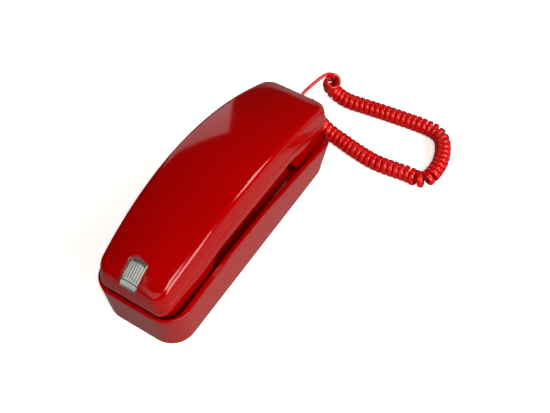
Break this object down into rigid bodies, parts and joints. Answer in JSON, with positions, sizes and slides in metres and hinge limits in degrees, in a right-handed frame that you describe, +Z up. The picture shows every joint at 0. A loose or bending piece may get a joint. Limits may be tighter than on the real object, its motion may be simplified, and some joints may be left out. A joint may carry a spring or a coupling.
{
  "type": "slimline wall phone",
  "caption": "Slimline corded telephone lying flat: arched handset face down in a drafted humped base, clear lamp lens, coiled handset cord.",
  "frame": {"origin": "centre of the bounding box's underside, where the rubber feet stand, measured without the cord", "axes": "+Z up from the table; +Y along the phone towards the cord end, so -Y is the receiver and lamp end; +X to the side seen beside the handset"},
  "size_m": [0.1584, 0.286, 0.0866],
  "materials": {
    "red_shell": "deep glossy red moulded plastic",
    "dark_red_plastic": "red moulded plastic, a little darker",
    "key_plastic": "satin red plastic",
    "black_plastic": "matt black plastic",
    "white_plastic": "plain white plastic",
    "clear_lens": "clear ribbed plastic",
    "clear_plug": "clear plastic",
    "cord_red": "glossy red cord jacket",
    "rubber": "matt black rubber",
    "silicone": "pale silicone rubber",
    "steel": "plain zinc plated steel",
    "ballast_steel": "bare rolled steel",
    "capsule_metal": "plain aluminium",
    "board": "green laminate board",
    "lamp": "red lamp on a small green board"
  },
  "bodies": {
    "base": {"base_housing": "red_shell", "base_bottom_plate": "dark_red_plastic", "rubber_feet": "rubber", "base_screws": "steel", "base_circuit_board": "board", "base_board_parts": "black_plastic", "ballast_plate": "ballast_steel", "ringer_sounder": "black_plastic", "base_handset_jack": "black_plastic", "line_jack": "black_plastic", "ringer_switch_body": "black_plastic", "hook_switch_body": "black_plastic", "hook_lever_pin": "steel", "hook_spring": "steel", "cord_base_plug": "clear_plug", "cord_base_lead": "cord_red", "cord_coil": "cord_red", "cord_handset_lead": "cord_red"},
    "handset": {"handset_back_shell": "red_shell", "handset_front_shell": "red_shell", "lamp_lens": "clear_lens", "message_lamp": "lamp", "receiver_capsule": "capsule_metal", "receiver_gasket": "rubber", "microphone_capsule": "capsule_metal", "microphone_boot": "rubber", "handset_circuit_board": "board", "handset_ballast": "ballast_steel", "handset_jack": "black_plastic", "handset_screws": "steel", "keypad_membrane": "silicone", "dial_faceplate": "dark_red_plastic", "volume_switch_body": "black_plastic", "cord_handset_plug": "clear_plug"},
    "ringer_knob": {"ringer_switch_knob": "black_plastic"},
    "plunger": {"hook_plunger": "white_plastic"},
    "lever": {"hook_lever": "white_plastic"},
    "volume_knob": {"volume_slide": "black_plastic"},
    "key_1_cap": {"key_1": "key_plastic"},
    "key_2_cap": {"key_2": "key_plastic"},
    "key_3_cap": {"key_3": "key_plastic"},
    "key_4_cap": {"key_4": "key_plastic"},
    "key_5_cap": {"key_5": "key_plastic"},
    "key_6_cap": {"key_6": "key_plastic"},
    "key_7_cap": {"key_7": "key_plastic"},
    "key_8_cap": {"key_8": "key_plastic"},
    "key_9_cap": {"key_9": "key_plastic"},
    "key_star_cap": {"key_star": "key_plastic"},
    "key_0_cap": {"key_0": "key_plastic"},
    "key_hash_cap": {"key_hash": "key_plastic"},
    "key_flash_cap": {"key_flash": "key_plastic"},
    "key_redial_cap": {"key_redial": "key_plastic"},
    "key_mute_cap": {"key_mute": "key_plastic"}
  },
  "joints": [
    {"name": "handset_lift", "type": "slide", "parent": "base", "child": "handset", "axis": [0, 0, 1], "range_m": [0, 0.07]},
    {"name": "plunger_rise", "type": "slide", "parent": "base", "child": "plunger", "axis": [0, 0, 1], "range_m": [0, 0.004], "deforming": ["hook_spring"]},
    {"name": "hook_lever_turn", "type": "hinge", "parent": "base", "child": "lever", "pos_m": [0, 0.092, 0.01], "axis": [1, 0, 0], "range_deg": [-11.6, 0]},
    {"name": "ringer_volume", "type": "slide", "parent": "base", "child": "ringer_knob", "axis": [0, 1, 0], "range_m": [0, 0.004]},
    {"name": "receiver_volume", "type": "slide", "parent": "handset", "child": "volume_knob", "axis": [1, 0, 0], "range_m": [0, 0.005]},
    {"name": "key_1_press", "type": "slide", "parent": "handset", "child": "key_1_cap", "axis": [0, 0, 1], "range_m": [0, 0.0015], "stiffness_N_per_m": 400, "springref_m": -0.0004},
    {"name": "key_2_press", "type": "slide", "parent": "handset", "child": "key_2_cap", "axis": [0, 0, 1], "range_m": [0, 0.0015], "stiffness_N_per_m": 400, "springref_m": -0.0004},
    {"name": "key_3_press", "type": "slide", "parent": "handset", "child": "key_3_cap", "axis": [0, 0, 1], "range_m": [0, 0.0015], "stiffness_N_per_m": 400, "springref_m": -0.0004},
    {"name": "key_4_press", "type": "slide", "parent": "handset", "child": "key_4_cap", "axis": [0, 0, 1], "range_m": [0, 0.0015], "stiffness_N_per_m": 400, "springref_m": -0.0004},
    {"name": "key_5_press", "type": "slide", "parent": "handset", "child": "key_5_cap", "axis": [0, 0, 1], "range_m": [0, 0.0015], "stiffness_N_per_m": 400, "springref_m": -0.0004},
    {"name": "key_6_press", "type": "slide", "parent": "handset", "child": "key_6_cap", "axis": [0, 0, 1], "range_m": [0, 0.0015], "stiffness_N_per_m": 400, "springref_m": -0.0004},
    {"name": "key_7_press", "type": "slide", "parent": "handset", "child": "key_7_cap", "axis": [0, 0, 1], "range_m": [0, 0.0015], "stiffness_N_per_m": 400, "springref_m": -0.0004},
    {"name": "key_8_press", "type": "slide", "parent": "handset", "child": "key_8_cap", "axis": [0, 0, 1], "range_m": [0, 0.0015], "stiffness_N_per_m": 400, "springref_m": -0.0004},
    {"name": "key_9_press", "type": "slide", "parent": "handset", "child": "key_9_cap", "axis": [0, 0, 1], "range_m": [0, 0.0015], "stiffness_N_per_m": 400, "springref_m": -0.0004},
    {"name": "key_star_press", "type": "slide", "parent": "handset", "child": "key_star_cap", "axis": [0, 0, 1], "range_m": [0, 0.0015], "stiffness_N_per_m": 400, "springref_m": -0.0004},
    {"name": "key_0_press", "type": "slide", "parent": "handset", "child": "key_0_cap", "axis": [0, 0, 1], "range_m": [0, 0.0015], "stiffness_N_per_m": 400, "springref_m": -0.0004},
    {"name": "key_hash_press", "type": "slide", "parent": "handset", "child": "key_hash_cap", "axis": [0, 0, 1], "range_m": [0, 0.0015], "stiffness_N_per_m": 400, "springref_m": -0.0004},
    {"name": "key_flash_press", "type": "slide", "parent": "handset", "child": "key_flash_cap", "axis": [0, 0, 1], "range_m": [0, 0.0015], "stiffness_N_per_m": 400, "springref_m": -0.0004},
    {"name": "key_redial_press", "type": "slide", "parent": "handset", "child": "key_redial_cap", "axis": [0, 0, 1], "range_m": [0, 0.0015], "stiffness_N_per_m": 400, "springref_m": -0.0004},
    {"name": "key_mute_press", "type": "slide", "parent": "handset", "child": "key_mute_cap", "axis": [0, 0, 1], "range_m": [0, 0.0015], "stiffness_N_per_m": 400, "springref_m": -0.0004}
  ],
  "couplings": [
    {"joint": "plunger_rise", "follows": "handset_lift", "ratio": 0.0571},
    {"joint": "hook_lever_turn", "follows": "handset_lift", "rad_per_m": -2.86}
  ]
}
